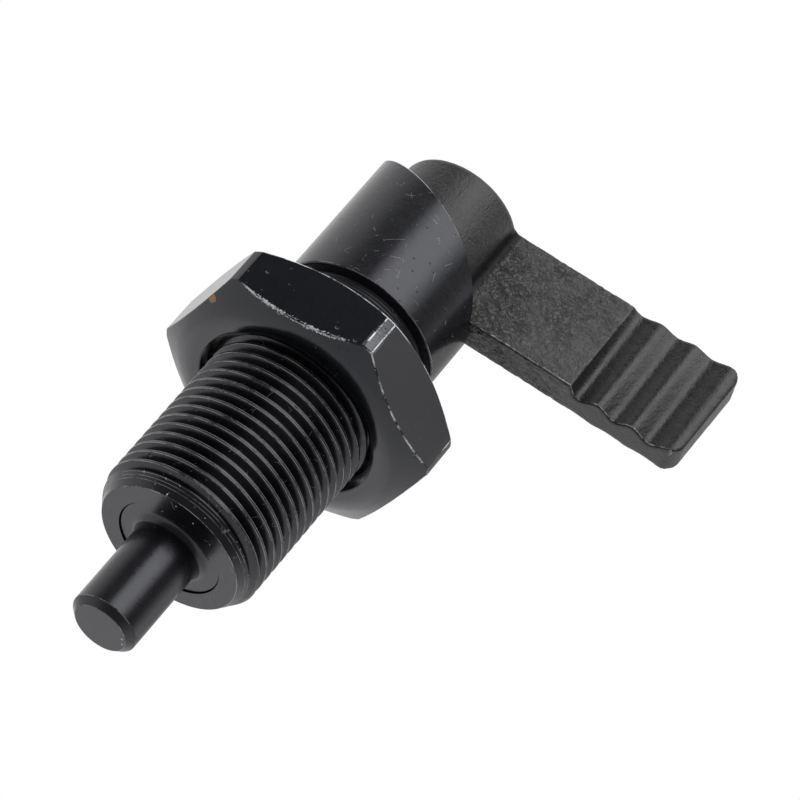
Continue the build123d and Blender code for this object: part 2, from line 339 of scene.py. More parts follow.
def metal(name, metallic, tint=(1, 1, 1)):
    """A new material with its tree, its shader and the piece's own coordinates."""
    material = bpy.data.materials.new(name)
    material.use_nodes = True
    tree = material.node_tree
    shader = tree.nodes["Principled BSDF"]
    shader.inputs["Metallic"].default_value = metallic
    shader.inputs["IOR"].default_value = IOR
    shader.inputs["Specular Tint"].default_value = (*tint, 1)
    return material, tree, shader, add(tree, "ShaderNodeTexCoord").outputs["Object"]


def grain(tree, place, size_mm, detail=2.0, roughness=0.5):
    """Noise whose spots are about this size."""
    inputs = {"Vector": place, "Scale": 1 / (size_mm * MM), "Detail": detail, "Roughness": roughness}
    return add(tree, "ShaderNodeTexNoise", inputs).outputs[0]


def blend(tree, share, first, second):
    """Mixes two colours."""
    made = add(tree, "ShaderNodeMix", data_type="RGBA")
    for socket, value in ((0, share), (6, first), (7, second)):
        if isinstance(value, bpy.types.NodeSocket):
            tree.links.new(value, made.inputs[socket])
        else:
            made.inputs[socket].default_value = value if socket == 0 else (*value, 1)
    return made.outputs[2]


def bumps(tree, layers):
    """Stacks bump nodes: each layer is (height, depth in mm). Returns the last normal."""
    normal = None
    for height, depth_mm in layers:
        inputs = {"Height": height, "Distance": depth_mm * MM, "Strength": 1.0}
        if normal is not None:
            inputs["Normal"] = normal
        normal = add(tree, "ShaderNodeBump", inputs).outputs[0]
    return normal


def lathe_place(tree, place):
    """(radius, 0, height) of a point, for marks that run round the axis."""
    parts = xyz(tree, place)
    x2 = product(tree, parts["X"], parts["X"])
    y2 = product(tree, parts["Y"], parts["Y"])
    radius = calc(tree, "SQRT", calc(tree, "ADD", x2, y2))
    return add(tree, "ShaderNodeCombineXYZ", {"X": radius, "Z": parts["Z"]}).outputs[0]


print("metal helpers:", [made.__name__ for made in (metal, grain, blend, bumps, lathe_place)])

# %% [markdown]
# ## Marks of handling
#
# A plunger lies in boxes with others, so its skin has short hairlines, small round dents and a
# few chips. Painting them by hand would need an image. A Voronoi texture gives both kinds from
# numbers alone: the edges of its cells, cut into short bits, are the hairlines, and the middles
# of some cells are the dents. Only the few marks that the eye finds first get a place of their
# own.

# %% Marks
def near_points(tree, place, points_mm, radius_mm):
    """1 inside small ragged spots round the given points, and 0 elsewhere."""
    nearest = None
    for point in points_mm:
        away = measured(tree, "DISTANCE", place, tuple(v * MM for v in point))
        nearest = away if nearest is None else calc(tree, "MINIMUM", nearest, away)
    uneven = grain(tree, place, radius_mm * 0.8)
    ragged = calc(tree, "MULTIPLY_ADD", uneven, radius_mm * MM, radius_mm * MM * 0.5)
    return calc(tree, "LESS_THAN", nearest, ragged)


def scratches(tree, place, length_mm, width_mm, share):
    """Short hairlines: bits of a net of cell edges, let through where a coarse noise is high."""
    inputs = {"Vector": place, "Scale": 1 / (length_mm * MM), "Randomness": 1.0}
    edge = add(tree, "ShaderNodeTexVoronoi", inputs, feature="DISTANCE_TO_EDGE").outputs["Distance"]
    line = calc(tree, "LESS_THAN", edge, width_mm / length_mm)
    let = calc(tree, "GREATER_THAN", grain(tree, place, length_mm * 0.45), 1 - share)
    return product(tree, line, let)


def specks(tree, place, spacing_mm, size_mm, share):
    """Small round dents. Each Voronoi cell holds one, if its own random number lets it."""
    inputs = {"Vector": place, "Scale": 1 / (spacing_mm * MM), "Randomness": 1.0}
    cells = add(tree, "ShaderNodeTexVoronoi", inputs).outputs
    random_number = add(tree, "ShaderNodeSeparateColor", {0: cells["Color"]}).outputs[0]
    chosen = calc(tree, "LESS_THAN", random_number, share)
    wide = size_mm / spacing_mm
    return product(tree, between(tree, cells["Distance"], 0.5 * wide, wide, 1.0, 0.0), chosen)


print("marks:", [made.__name__ for made in (near_points, scratches, specks)])

# %% [markdown]
# ## A handled skin
#
# Every black piece has been handled about as much as the next, so one function lays the
# hairlines and the dents over any of them. Small dents are common and large ones rare, and
# between them the skin is never quite even. The hairlines change the colour, while dents and
# unevenness are relief, so they are handed on as bump layers.

# %% Handled skin
SCRATCHED = (0.2, 0.2, 0.21)
HAIRLINES = (2.6, 0.03, 0.4)       # (length, width, share)
SMALL_DENTS = (0.9, 0.12, 0.4)     # (spacing, size, share)
LARGE_DENTS = (2.1, 0.24, 0.45)
DENT_DEPTH = 0.06
UNEVEN_SIZE, UNEVEN_DEPTH = 1.6, 0.022


def handled(tree, place, colour, marks):
    """Draws hairlines into a colour. Returns it with the bump layers of dents and uneven skin."""
    *line_size, line_share = HAIRLINES
    hairline = scratches(tree, place, *line_size, line_share * marks)
    dents = calc(tree, "MAXIMUM", *(
        specks(tree, place, spacing, size, share * marks)
        for spacing, size, share in (SMALL_DENTS, LARGE_DENTS)
    ))
    colour = blend(tree, product(tree, hairline, 0.5), colour, SCRATCHED)
    uneven = grain(tree, place, UNEVEN_SIZE, detail=5.0, roughness=0.65)
    return colour, [(calc(tree, "SUBTRACT", 1.0, dents), DENT_DEPTH), (uneven, UNEVEN_DEPTH * marks)]


print("handling:", handled.__name__)

# %% [markdown]
# ## Black-oxide steel
#
# Black oxide is a thin, nearly black skin on steel, oiled until it shines a little. A plain
# black shader looks like plastic. What makes it steel is cloudy patches in its colour, a fine
# speckle that breaks up the gloss, the rings that the lathe tool leaves, and the marks of
# handling. The oil gives its reflections a faint blue, which is the shader's specular tint.
#
# Sleeve, pin and nut share one function. Each adds its own places that are duller, rubbed or
# chipped, and those are small functions that find a place on the piece.

# %% Black oxide
OIL_TINT = (0.95, 0.96, 1.05)
CHIP = (0.42, 0.42, 0.42)
BARE = (0.62, 0.63, 0.65)
RUST = (0.32, 0.14, 0.04)
CLOUD_SIZE = 3.5
SCUFFS = (0.6, 0.07, 0.5)          # (spacing, size, share)


def black_oxide(
    name, dark, light, gloss, speckle, rings, marks, chips=(), chip_mm=0.1, rust=(), rust_mm=0.3,
    rubbed=None, dull=None, scuffed=None,
):
    """Speckle and rings are (size, depth) in mm, and marks is the share of handling marks. Dull is
    a function that finds a duller place, the roughness it adds and its colour."""
    material, tree, shader, place = metal(name, 0.0, tint=OIL_TINT)
    cloud = grain(tree, place, CLOUD_SIZE, detail=4.0, roughness=0.6)
    mottle = grain(tree, place, speckle[0], detail=3.0, roughness=0.65)
    turned = grain(tree, lathe_place(tree, place), rings[0])
    colour = blend(tree, between(tree, cloud, *NOISE_SPAN), dark, light)
    roughness = between(tree, mottle, *NOISE_SPAN, *gloss)
    if dull:
        find, rougher, dull_colour = dull
        dulled = find(tree, place)
        colour = blend(tree, dulled, colour, dull_colour)
        roughness = calc(tree, "MULTIPLY_ADD", dulled, rougher, roughness)
    colour, dent_layers = handled(tree, place, colour, marks)
    if chips:
        colour = blend(tree, near_points(tree, place, chips, chip_mm), colour, CHIP)
    if scuffed:
        knocks = product(tree, specks(tree, place, *SCUFFS), scuffed(tree, place))
        colour = blend(tree, knocks, colour, CHIP)
    if rubbed:
        colour = blend(tree, rubbed(tree, place), colour, BARE)
    if rust:
        colour = blend(tree, near_points(tree, place, rust, rust_mm), colour, RUST)
    normal = bumps(tree, [(turned, rings[1]), (mottle, speckle[1]), *dent_layers])
    tree.links.new(colour, shader.inputs["Base Color"])
    tree.links.new(roughness, shader.inputs["Roughness"])
    tree.links.new(normal, shader.inputs["Normal"])
    return material


print("finish:", black_oxide.__name__)

# %% [markdown]
# ## The sleeve's and the pin's steel
#
# The thread's crests keep the dull skin of the drawn bar, and the relief behind the thread is
# duller still, because nothing rubs it. The cone in front is the first thing to knock against
# other parts, so it has more specks than the rest. The pin's tip has two chips.

# %% Steel of sleeve and pin
THREAD_R = 10.0
FRONT_Z = 22.3
SCUFFED_Z = (19.0, 20.5)         # the specks of the cone fade out over the first turns
RELIEF_FRONT_Z = -11.0
CREST_DULL, RELIEF_DULL = 0.7, 2.0
THREAD_CHIPS = [
    (-2.74, 9.13, 20.86), (-1.0, 9.48, 20.86), (-5.38, 7.88, 20.84),
    (-1.66, 8.61, 22.11), (-0.27, 7.89, 22.3), (2.05, 6.9, 22.3),
]
TIP_CHIPS = [(2.76, 0.62, 35.0), (2.88, -0.25, 35.0)]


def lead_in(tree, place):
    """1 on the cone in front of the thread, and less over the thread's first turns."""
    height = xyz(tree, place)["Z"]
    behind_face = over(tree, height, (FRONT_Z - 0.1, FRONT_Z), 1.0, 0.0)
    return product(tree, over(tree, height, SCUFFED_Z), behind_face)


def thread_skin(tree, place):
    """Duller places: the thread's crests, and more so the relief behind the thread."""
    radius, _, height = xyz(tree, lathe_place(tree, place))
    crest = product(tree, over(tree, radius, (THREAD_R - 0.07, THREAD_R - 0.03)), CREST_DULL)
    relief = over(tree, height, (RELIEF_FRONT_Z - 0.4, RELIEF_FRONT_Z), RELIEF_DULL, 0.0)
    low = calc(tree, "LESS_THAN", radius, (THREAD_R - 0.3) * MM)
    threaded = calc(tree, "GREATER_THAN", height, RELIEF_FRONT_Z * MM)
    return calc(tree, "ADD", product(tree, crest, threaded), product(tree, relief, low))


sleeve_steel = black_oxide(
    "sleeve black oxide", (0.0036, 0.0038, 0.0047), (0.0066, 0.0069, 0.0083), gloss=(0.17, 0.26),
    speckle=(0.22, 0.003), rings=(0.3, 0.003), marks=1.0, chips=THREAD_CHIPS, chip_mm=0.1,
    dull=(thread_skin, 0.12, (0.006, 0.0062, 0.0072)), scuffed=lead_in,
)
pin_steel = black_oxide(
    "pin black oxide", (0.004, 0.0041, 0.005), (0.0075, 0.0075, 0.0088), gloss=(0.19, 0.29),
    speckle=(0.26, 0.007), rings=(0.2, 0.001), marks=0.35, chips=TIP_CHIPS, chip_mm=0.13,
)
print("black oxides:", sleeve_steel.name, "/", pin_steel.name)

# %% [markdown]
# ## The nut's steel
#
# A nut is turned by a spanner, so its edges and corners lose their oxide first. Here a ragged
# band of bare steel runs where the upper flat meets the cone, and one corner has been knocked.
# One flat is duller than the others, and two spots have begun to rust. Each of these is a
# place on the nut, so a few distances find it: the distance below a flat, the distance below
# the cone, and the distance from a corner.

# %% Steel of the nut
NUT_FLATS = 30.0
NUT_CORNER_R = 17.0
NUT_FACE_R = 13.4        # where the front face turns into the cone
NUT_DROP = 2.1           # of the cone, from the face to the corners
UPPER_FLAT = math.radians(97.7)  # which way the nut's upper flat faces
RIGHT_FLAT = math.radians(37.7)
RUB_START_X = (-10.5, -7.0)      # the rubbed band widens, and then narrows again
RUB_END_X = (3.0, 6.0)
RUB_WIDTH = 0.42
KNOCKED_CORNER = (6.45 * MM, 15.73 * MM, -2.4 * MM)
KNOCK_REACH = (0.4, 4.0)
KNOCK_SHARE = 0.12
RUST_SPOTS = [(-12.01, 9.63, -1.17), (-13.22, 7.29, -2.33)]


def towards(tree, place, azimuth):
    """How far a point lies from the axis in one direction."""
    return measured(tree, "DOT_PRODUCT", place, Vector((math.cos(azimuth), math.sin(azimuth), 0.0)))


def rubbed_edge(tree, place):
    """A ragged band where the upper flat meets the cone, widest in its middle, and faintly the
    knocked corner."""
    x, _, z = xyz(tree, place)
    radius = xyz(tree, lathe_place(tree, place))["X"]
    below_flat = calc(tree, "SUBTRACT", NUT_FLATS / 2 * MM, towards(tree, place, UPPER_FLAT))
    slope = NUT_DROP / (NUT_CORNER_R - NUT_FACE_R)
    cone_drop = calc(tree, "MULTIPLY_ADD", radius, slope, -NUT_FACE_R * MM * slope)
    below_cone = product(tree, calc(tree, "ADD", cone_drop, z), -1.0)
    away = calc(tree, "MAXIMUM", below_flat, below_cone)
    ragged = grain(tree, place, 0.3, detail=4.0, roughness=0.8)
    full_width = between(tree, ragged, 0.4, 0.7, 0.0, RUB_WIDTH * MM)
    along = product(tree, over(tree, x, RUB_START_X), over(tree, x, RUB_END_X, 1.0, 0.0))
    rubbed = calc(tree, "LESS_THAN", away, product(tree, full_width, along))
    reach = between(tree, ragged, 0.38, 0.62, *(v * MM for v in KNOCK_REACH))
    near_corner = calc(tree, "LESS_THAN", measured(tree, "DISTANCE", place, KNOCKED_CORNER), reach)
    outermost = calc(tree, "GREATER_THAN", radius, (NUT_CORNER_R - 0.15) * MM)
    return calc(tree, "MAXIMUM", rubbed, product(tree, near_corner, outermost, KNOCK_SHARE))


def right_flat(tree, place):
    """About 1 on the nut's right-hand flat, whose skin is duller than the others, and 0 elsewhere."""
    dust = grain(tree, place, 0.3, detail=3.0, roughness=0.7)
    dusty = between(tree, dust, *NOISE_SPAN, 0.75, 1.25)
    on_flat = calc(tree, "GREATER_THAN", towards(tree, place, RIGHT_FLAT), (NUT_FLATS / 2 - 0.03) * MM)
    return product(tree, on_flat, dusty)


nut_steel = black_oxide(
    "nut black oxide", (0.0022, 0.0026, 0.0036), (0.004, 0.0046, 0.006), gloss=(0.12, 0.19),
    speckle=(0.3, 0.004), rings=(0.5, 0.0008), marks=0.7, rust=RUST_SPOTS, rust_mm=0.6,
    rubbed=rubbed_edge, dull=(right_flat, 0.22, (0.028, 0.028, 0.03)),
)
print("black oxide:", nut_steel.name)

# %% [markdown]
# ## Worn edges
#
# Handling rubs the oxide off the outer edges first, and bare steel shows through in a broken
# line. A material can't find an edge by itself without looking at the mesh, so the worn steel
# is a material of its own, given only to the narrow faces along an edge. In it bare steel and
# black oxide take turns, by a long noise and a short one added together.

# %% Worn edge
OXIDE = (0.006, 0.0065, 0.008)
LONG_PATCHES = 7         # times the size of the short ones
WORN_SIDE_X = (-9.5, -8.5)


def worn_edge(name, bare_share, size_mm, bare_colour=BARE, from_radius_mm=0.0):
    """Bare steel and black oxide by turns. Where a radius is given, the oxide stays whole nearer to
    the axis than that, and on the side away from the hand."""
    material, tree, shader, place = metal(name, 0.0)
    long_patches = grain(tree, place, size_mm * LONG_PATCHES)
    patches = grain(tree, place, size_mm, detail=4.0, roughness=0.75)
    both = calc(tree, "ADD", product(tree, long_patches, 0.6), product(tree, patches, 0.4))
    bare = between(tree, both, 0.56 - bare_share * 0.2, 0.66 - bare_share * 0.2)
    if from_radius_mm:
        radius = xyz(tree, lathe_place(tree, place))["X"]
        bare = product(tree, bare, calc(tree, "GREATER_THAN", radius, from_radius_mm * MM))
        bare = product(tree, bare, over(tree, xyz(tree, place)["X"], WORN_SIDE_X))
    tree.links.new(blend(tree, bare, OXIDE, bare_colour), shader.inputs["Base Color"])
    tree.links.new(between(tree, bare, 0, 1, 0.25, 0.45), shader.inputs["Roughness"])
    tree.links.new(product(tree, bare, 0.6), shader.inputs["Metallic"])
    tree.links.new(bumps(tree, [(patches, 0.01)]), shader.inputs["Normal"])
    return material


rim_wear = worn_edge("rim wear", 0.55, 0.5)
# The crest's worn edges are partly bare steel and partly a painted highlight: their lighter colour stands
# in for the light that the broken edges catch.
crest_wear_and_highlight = worn_edge("thread crest wear", 0.7, 0.3, (0.3, 0.3, 0.31))
pin_wear = worn_edge("pin edge wear", 0.6, 0.3, (0.2, 0.2, 0.21))
nut_wear = worn_edge("nut edge wear", 0.45, 0.3, from_radius_mm=14.9)
print("worn edges:", [made.name for made in (rim_wear, crest_wear_and_highlight, pin_wear, nut_wear)])

# %% [markdown]
# ## The sleeve's blank
#
# The sleeve is turned first and threaded afterwards, as in the workshop. Its profile goes once
# round the wall: up the outside, over the front face, down through the stepped bore and back
# to the rear rim. The rim is the cam: its height follows a ramp that climbs half a turn each
# way from the arm, so the profile's rim points move with the angle.
#
# The relief and the cone also keep the fine steps of the turning tool. They are real steps in
# the profile, because bump alone would leave the outline straight.

# %% Sleeve sizes
COLLAR_R = 10.05
SHOULDER_Z = -13.9
SHOULDER_CHAMFER = 0.15
SHOULDER_MIDDLE = (COLLAR_R - 0.05, SHOULDER_Z - 0.1)
RELIEF_R = 8.9
RELIEF_STEPS, RELIEF_STEP = 6, 0.42
RUNOUT_Z = -10.5         # where the relief has climbed to the thread's full radius
CONE_LENGTH = 2.2
CONE_DROP = 1.35
CONE_LINES = (0.2, 0.35, 0.5, 0.65)  # how far out on the cone the tool left a line
FACE_R = 8.61
GUIDE_BORE_R = 6.41
STEM_BORE_R = 4.06
WEB_FRONT_Z, WEB_REAR_Z = -11.7, -17.7
REAR_BORE_R = 7.56
CREST_Z = -35.31         # rim opposite the arm
RAMP_RISE = 14.38        # in half a turn
SEAT_Z = -21.86
RIDGE_R = 9.93
COLUMNS = 288
BLACK, RIM_WORN, CREST_WEAR_AND_HIGHLIGHT = 0, 1, 2  # the sleeve's material slots
print("ramp rises from", CREST_Z, "to", round(CREST_Z + RAMP_RISE, 2), "mm, and stops at", SEAT_Z, "mm")

# %% Sleeve's rim, relief and cone
def rim(angle):
    """Heights of the rim's ridge, its broken outer edge and its dished inner edge."""
    turned = math.atan2(math.sin(angle), math.cos(angle))
    ridge = CREST_Z + RAMP_RISE * (1 - abs(turned) / math.pi)
    return [min(SEAT_Z, ridge + extra) for extra in (0.0, 0.12, 0.6)]


def relief_steps():
    """Shallow steps along the bottom of the relief."""
    steps = []
    for number in range(RELIEF_STEPS):
        z = SHOULDER_Z + SHOULDER_CHAMFER + number * RELIEF_STEP
        high = RELIEF_R + 0.02
        steps += [(RELIEF_R - 0.06, z), (high, z + 0.12), (high, z + 0.26)]
    return steps


def cone_lines():
    """Fine lines round the cone in front, each with a worn edge whose lighter steel is partly a painted
    highlight.
    """
    lines = []
    for share in CONE_LINES:
        r, z = THREAD_R - CONE_DROP * share, FRONT_Z - CONE_LENGTH * (1 - share)
        lines += [(r + 0.02, z - 0.03, CREST_WEAR_AND_HIGHLIGHT), (r, z), (r - 0.05, z + 0.02)]
    return lines


print("rim at the arm:", rim(0), "mm, opposite it:", [round(v, 2) for v in rim(math.pi)], "mm")

# %% Blank
def sleeve_profile(angle):
    """The wall's outline at one angle, once round."""
    ridge, outer, inner = rim(angle)
    return [
        (RIDGE_R, ridge, RIM_WORN), (COLLAR_R, outer),
        (COLLAR_R, SHOULDER_Z - SHOULDER_CHAMFER - 0.01, CREST_WEAR_AND_HIGHLIGHT), SHOULDER_MIDDLE,
        (COLLAR_R - SHOULDER_CHAMFER, SHOULDER_Z),
        *relief_steps(),
        (RELIEF_R, RELIEF_FRONT_Z - 0.3), (9.2, RELIEF_FRONT_Z - 0.3),
        (THREAD_R, RUNOUT_Z), (THREAD_R, FRONT_Z - CONE_LENGTH),
        *cone_lines(),
        (FACE_R + 0.06, FRONT_Z - 0.04, CREST_WEAR_AND_HIGHLIGHT), (FACE_R, FRONT_Z),
        (GUIDE_BORE_R, FRONT_Z), (GUIDE_BORE_R, WEB_FRONT_Z),
        (STEM_BORE_R, WEB_FRONT_Z), (STEM_BORE_R, WEB_REAR_Z),
        (REAR_BORE_R, WEB_REAR_Z), (REAR_BORE_R, inner),
    ]


blank_mesh = spun("sleeve blank", sleeve_profile, COLUMNS)
blank = piece("sleeve blank", blank_mesh, [sleeve_steel, rim_wear, crest_wear_and_highlight])
print("blank:", len(blank.data.polygons), "faces")

# %% [markdown]
# ## Geometry Nodes from a script
#
# The thread, the spring and the lever's skin are grown by Geometry Nodes. A tree gets an input
# for each of its sizes, and a modifier fills them in. It does so by the identifiers of the
# sockets, because names may repeat. The result is kept as a plain mesh, so that nothing of the
# tree has to be worked out again later.

# %% Helpers for Geometry Nodes
def named_inputs(tree, kinds):
    """Gives a tree its geometry output and an input for each name. Returns their identifiers."""
    sockets = {
        title: tree.interface.new_socket(title, in_out="INPUT", socket_type=f"NodeSocket{kind}").identifier
        for title, kind in kinds.items()
    }
    tree.interface.new_socket("Geometry", in_out="OUTPUT", socket_type="NodeSocketGeometry")
    return sockets


def end_tree(tree, geometry, material):
    """Every tree here ends alike: instances made real, the material set, and the output."""
    real = add(tree, "GeometryNodeRealizeInstances", {0: geometry})
    dressed = add(tree, "GeometryNodeSetMaterial", {"Geometry": real.outputs[0], "Material": material})
    tree.links.new(dressed.outputs[0], tree.nodes.new("NodeGroupOutput").inputs[0])


def run_on(target, name, tree, sockets, values):
    """Puts a Geometry Nodes tree on an object and fills its named inputs."""
    modifier = target.modifiers.new(name, "NODES")
    modifier.node_group = tree
    for title, value in values.items():
        modifier[sockets[title]] = value


def evaluated_mesh(target):
    """What an object looks like with all its modifiers, as a plain mesh."""
    evaluated = target.evaluated_get(bpy.context.evaluated_depsgraph_get())
    return bpy.data.meshes.new_from_object(evaluated)


def grown(name, tree, sockets, values):
    """Runs a tree on an empty object and keeps the result as a plain mesh."""
    seed = linked(name, bpy.data.meshes.new(name))
    run_on(seed, name, tree, sockets, values)
    mesh = evaluated_mesh(seed)
    bpy.data.objects.remove(seed)
    return mesh


print("tree helpers:", [made.__name__ for made in (named_inputs, end_tree, run_on, evaluated_mesh, grown)])

# %% [markdown]
# ## Helices
#
# The thread and the spring both follow a helix, so one tree makes both: a spiral curve, a
# profile carried along it, and a shift and a turn that put it in place. The profile is either
# the trapezoid of a thread-cutting tool or the round section of a wire.

# %% The helix tree
PROFILE_TURN = math.radians(90)  # the profile's own +Y then points away from the axis


def helix_tree(name, profile_kind, profile_inputs, profile_fixed, **profile_settings):
    """A tree that sweeps a profile along a helix, with named inputs in metres and radians."""
    tree = bpy.data.node_groups.new(name, "GeometryNodeTree")
    sockets = named_inputs(tree, {
        "Radius": "Float", "Height": "Float", "Turns": "Float", "Steps per turn": "Int",
        "Start height": "Float", "Start angle": "Float", "Material": "Material",
        **{title: "Float" for title in profile_inputs},
    })
    given = tree.nodes.new("NodeGroupInput").outputs
    spiral = add(tree, "GeometryNodeCurveSpiral", {
        "Resolution": given["Steps per turn"], "Rotations": given["Turns"],
        "Start Radius": given["Radius"], "End Radius": given["Radius"], "Height": given["Height"],
    })
    upright = add(tree, "GeometryNodeSetCurveNormal", {"Curve": spiral.outputs[0]}, mode="Z_UP")
    section = {socket: given[title] for title, socket in profile_inputs.items()}
    outline = add(tree, profile_kind, section | profile_fixed, **profile_settings)
    profile = add(tree, "GeometryNodeTransform", {
        "Geometry": outline.outputs[0], "Rotation": (0, 0, PROFILE_TURN),
    })
    swept = add(tree, "GeometryNodeCurveToMesh", {
        "Curve": upright.outputs[0], "Profile Curve": profile.outputs[0], "Fill Caps": True,
    })
    shift = add(tree, "ShaderNodeCombineXYZ", {"Z": given["Start height"]})
    spin = add(tree, "ShaderNodeCombineXYZ", {"Z": given["Start angle"]})
    placed = add(tree, "GeometryNodeTransform", {
        "Geometry": swept.outputs[0], "Translation": shift.outputs[0], "Rotation": spin.outputs[0],
    })
    end_tree(tree, placed.outputs[0], given["Material"])
    return tree, sockets


print("helix:", helix_tree.__name__)

# %% [markdown]
# ## Cutting the thread
#
# The thread is M20 x 1.5 and right-handed. On a lathe a pointed tool takes a groove out of the
# blank along a helix, and what stays between two turns is the thread's crest. Here the tool's
# whole path is one long mesh, and a Boolean modifier takes it out of the blank. The groove then
# fades out on the cone in front and in the relief behind, as a real one does.

# %% The thread-cutting tool
PITCH = 1.5
CREST_PLACE = 0.65       # height of a crest's middle at angle 0
CREST_WIDTH = 0.3
CUT_FROM = -12.0
CUT_TURNS = 24

cut_tree, cut_sockets = helix_tree(
    "thread cutter", "GeometryNodeCurvePrimitiveQuadrilateral",
    {"Root width": "Bottom Width", "Mouth width": "Top Width", "Tool height": "Height"},
    {"Offset": 0.0}, mode="TRAPEZOID",
)
groove_start = CREST_PLACE + PITCH / 2
groove_start -= PITCH * math.ceil((groove_start - CUT_FROM) / PITCH)


def thread_tool(name, inner_r, outer_r, inner_width, outer_width, slot):
    """One pass of the tool: a trapezoid between two radii, in mm, carried along the helix. The
    faces that it cuts get the material in the given slot."""
    mesh = grown(name, cut_tree, cut_sockets, {
        "Radius": (inner_r + outer_r) / 2 * MM,
        "Height": CUT_TURNS * PITCH * MM,
        "Turns": float(CUT_TURNS),
        "Steps per turn": COLUMNS,
        "Start height": groove_start * MM,
        "Start angle": 0.0,
        "Material": sleeve_steel,
        "Root width": inner_width * MM,
        "Mouth width": outer_width * MM,
        "Tool height": (outer_r - inner_r) * MM,
    })
    for face in mesh.polygons:
        face.material_index = slot
    return linked(name, mesh)


print("thread cutter:", CUT_TURNS, "turns from", round(groove_start, 2), "mm")

# %% [markdown]
# ## Two passes of the tool
#
# The Boolean uses the Manifold solver, which is quick and exact on closed meshes, and leaves
# each cut face with the material slot that it had on the tool. So the first pass cuts black
# flanks. A second, shallow pass breaks the two edges of the crest, and its faces bring the worn
# material with them. Its lighter steel is partly wear and partly a painted highlight on those edges.

# %% Applying modifiers
def settled(target):
    """Runs an object's modifiers and keeps their result as its plain mesh."""
    mesh = evaluated_mesh(target)
    materials = list(target.data.materials)
    name = target.name
    bpy.data.objects.remove(target)
    return piece(name, mesh, materials)


def combined(target, tool, operation):
    """Applies a Boolean with a second mesh object, then removes that object."""
    modifier = target.modifiers.new(operation, "BOOLEAN")
    modifier.solver = "MANIFOLD"
    modifier.operation = operation
    modifier.object = tool
    result = settled(target)
    bpy.data.objects.remove(tool)
    return result


print("modifier helpers:", settled.__name__, "/", combined.__name__)

# %% The threaded sleeve
THREAD_DEPTH = 0.9
FLANK = math.tan(math.radians(30))
CUT_OVERRUN = 0.15       # how far the cutter stands out of the blank
EDGE_BREAK = 0.03        # the second pass takes this much off the crest's two edges
BREAK_SLOPE = math.tan(math.radians(65))
BREAK_OVERRUN = 0.03

mouth = PITCH - CREST_WIDTH
groove_tool = thread_tool(
    "groove", THREAD_R - THREAD_DEPTH, THREAD_R + CUT_OVERRUN,
    mouth - 2 * THREAD_DEPTH * FLANK, mouth + 2 * CUT_OVERRUN * FLANK, BLACK,
)
sleeve = combined(blank, groove_tool, "DIFFERENCE")
break_inner = mouth - 2 * EDGE_BREAK * (FLANK + BREAK_SLOPE)
break_outer = break_inner + 2 * (2 * EDGE_BREAK + BREAK_OVERRUN) * BREAK_SLOPE
# its faces get the worn material, whose lighter colour is partly a painted highlight
edge_tool = thread_tool(
    "edge break", THREAD_R - 2 * EDGE_BREAK, THREAD_R + BREAK_OVERRUN, break_inner, break_outer, CREST_WEAR_AND_HIGHLIGHT,
)
sleeve = combined(sleeve, edge_tool, "DIFFERENCE")
sleeve.name = "threaded_sleeve"
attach(sleeve, "sleeve")
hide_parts("threaded_body")
print("sleeve:", len(sleeve.data.polygons), "faces")

# %% [markdown]
# ## The pin
#
# The pin is one turned piece: the nose that locks the machine, the thicker guide that slides in
# the sleeve, and the thin stem that runs back through the spring to the lever. It is spun like
# the sleeve, but its profile is open, because it starts and ends on the axis. The foot of the
# nose has a small fillet, worked out point by point as a quarter of a circle.

# %% Pin
PIN_R = 4.0
NOSE_TIP_Z = 35.0
TIP_FACE_R = 3.15
TIP_CHAMFER_Z = 34.25
FOOT_FILLET = 0.9
FILLET_STEPS = 8
GUIDE_R = 6.35
GUIDE_FRONT_Z, GUIDE_REAR_Z = 22.1, 14.1
GUIDE_FRONT_CHAMFER, GUIDE_REAR_CHAMFER = 0.1, 0.35
STEM_REAR_Z = -33.0
STEM_CHAMFER = 0.5
SUPPORT_ROWS = (34.0, 23.4)  # keep the shading of the straight wall straight
PIN_WORN = 1                 # the material slot of the pin's worn edges


def pin_profile(angle):
    """From the tip's middle to the stem's rear end, the same at every angle."""
    foot = []
    for step in range(FILLET_STEPS + 1):
        part = math.radians(step * 90 / FILLET_STEPS)
        foot.append((
            PIN_R + FOOT_FILLET * (1 - math.cos(part)),
            GUIDE_FRONT_Z + FOOT_FILLET * (1 - math.sin(part)),
        ))
    return [
        (0, NOSE_TIP_Z), (TIP_FACE_R, NOSE_TIP_Z, PIN_WORN), (TIP_FACE_R + 0.09, NOSE_TIP_Z - 0.05),
        (PIN_R - 0.05, TIP_CHAMFER_Z, PIN_WORN), (PIN_R, TIP_CHAMFER_Z - 0.09),
        *((PIN_R, z) for z in SUPPORT_ROWS),
        *foot,
        (GUIDE_R - GUIDE_FRONT_CHAMFER, GUIDE_FRONT_Z), (GUIDE_R, GUIDE_FRONT_Z - GUIDE_FRONT_CHAMFER),
        (GUIDE_R, GUIDE_REAR_Z + GUIDE_REAR_CHAMFER), (GUIDE_R - GUIDE_REAR_CHAMFER, GUIDE_REAR_Z),
        (PIN_R, GUIDE_REAR_Z), (PIN_R, STEM_REAR_Z + STEM_CHAMFER),
        (PIN_R - STEM_CHAMFER, STEM_REAR_Z), (0, STEM_REAR_Z),
    ]


pin = piece("pin", spun("pin", pin_profile, 256, closed=False), [pin_steel, pin_wear])
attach(pin, "plunger")
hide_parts("plunger_pin")
print("pin:", len(pin.data.polygons), "faces")

# %% [markdown]
# ## The lock nut
#
# A nut is a six-sided bar with its corners turned off. So it is made from the same two cuts: a
# turned ring with a cone on both sides, and a six-sided prism. What both have in common is the
# nut, with the curved edges where cone and flat meet. A Bevel modifier then breaks its edges and
# gives them the worn material.

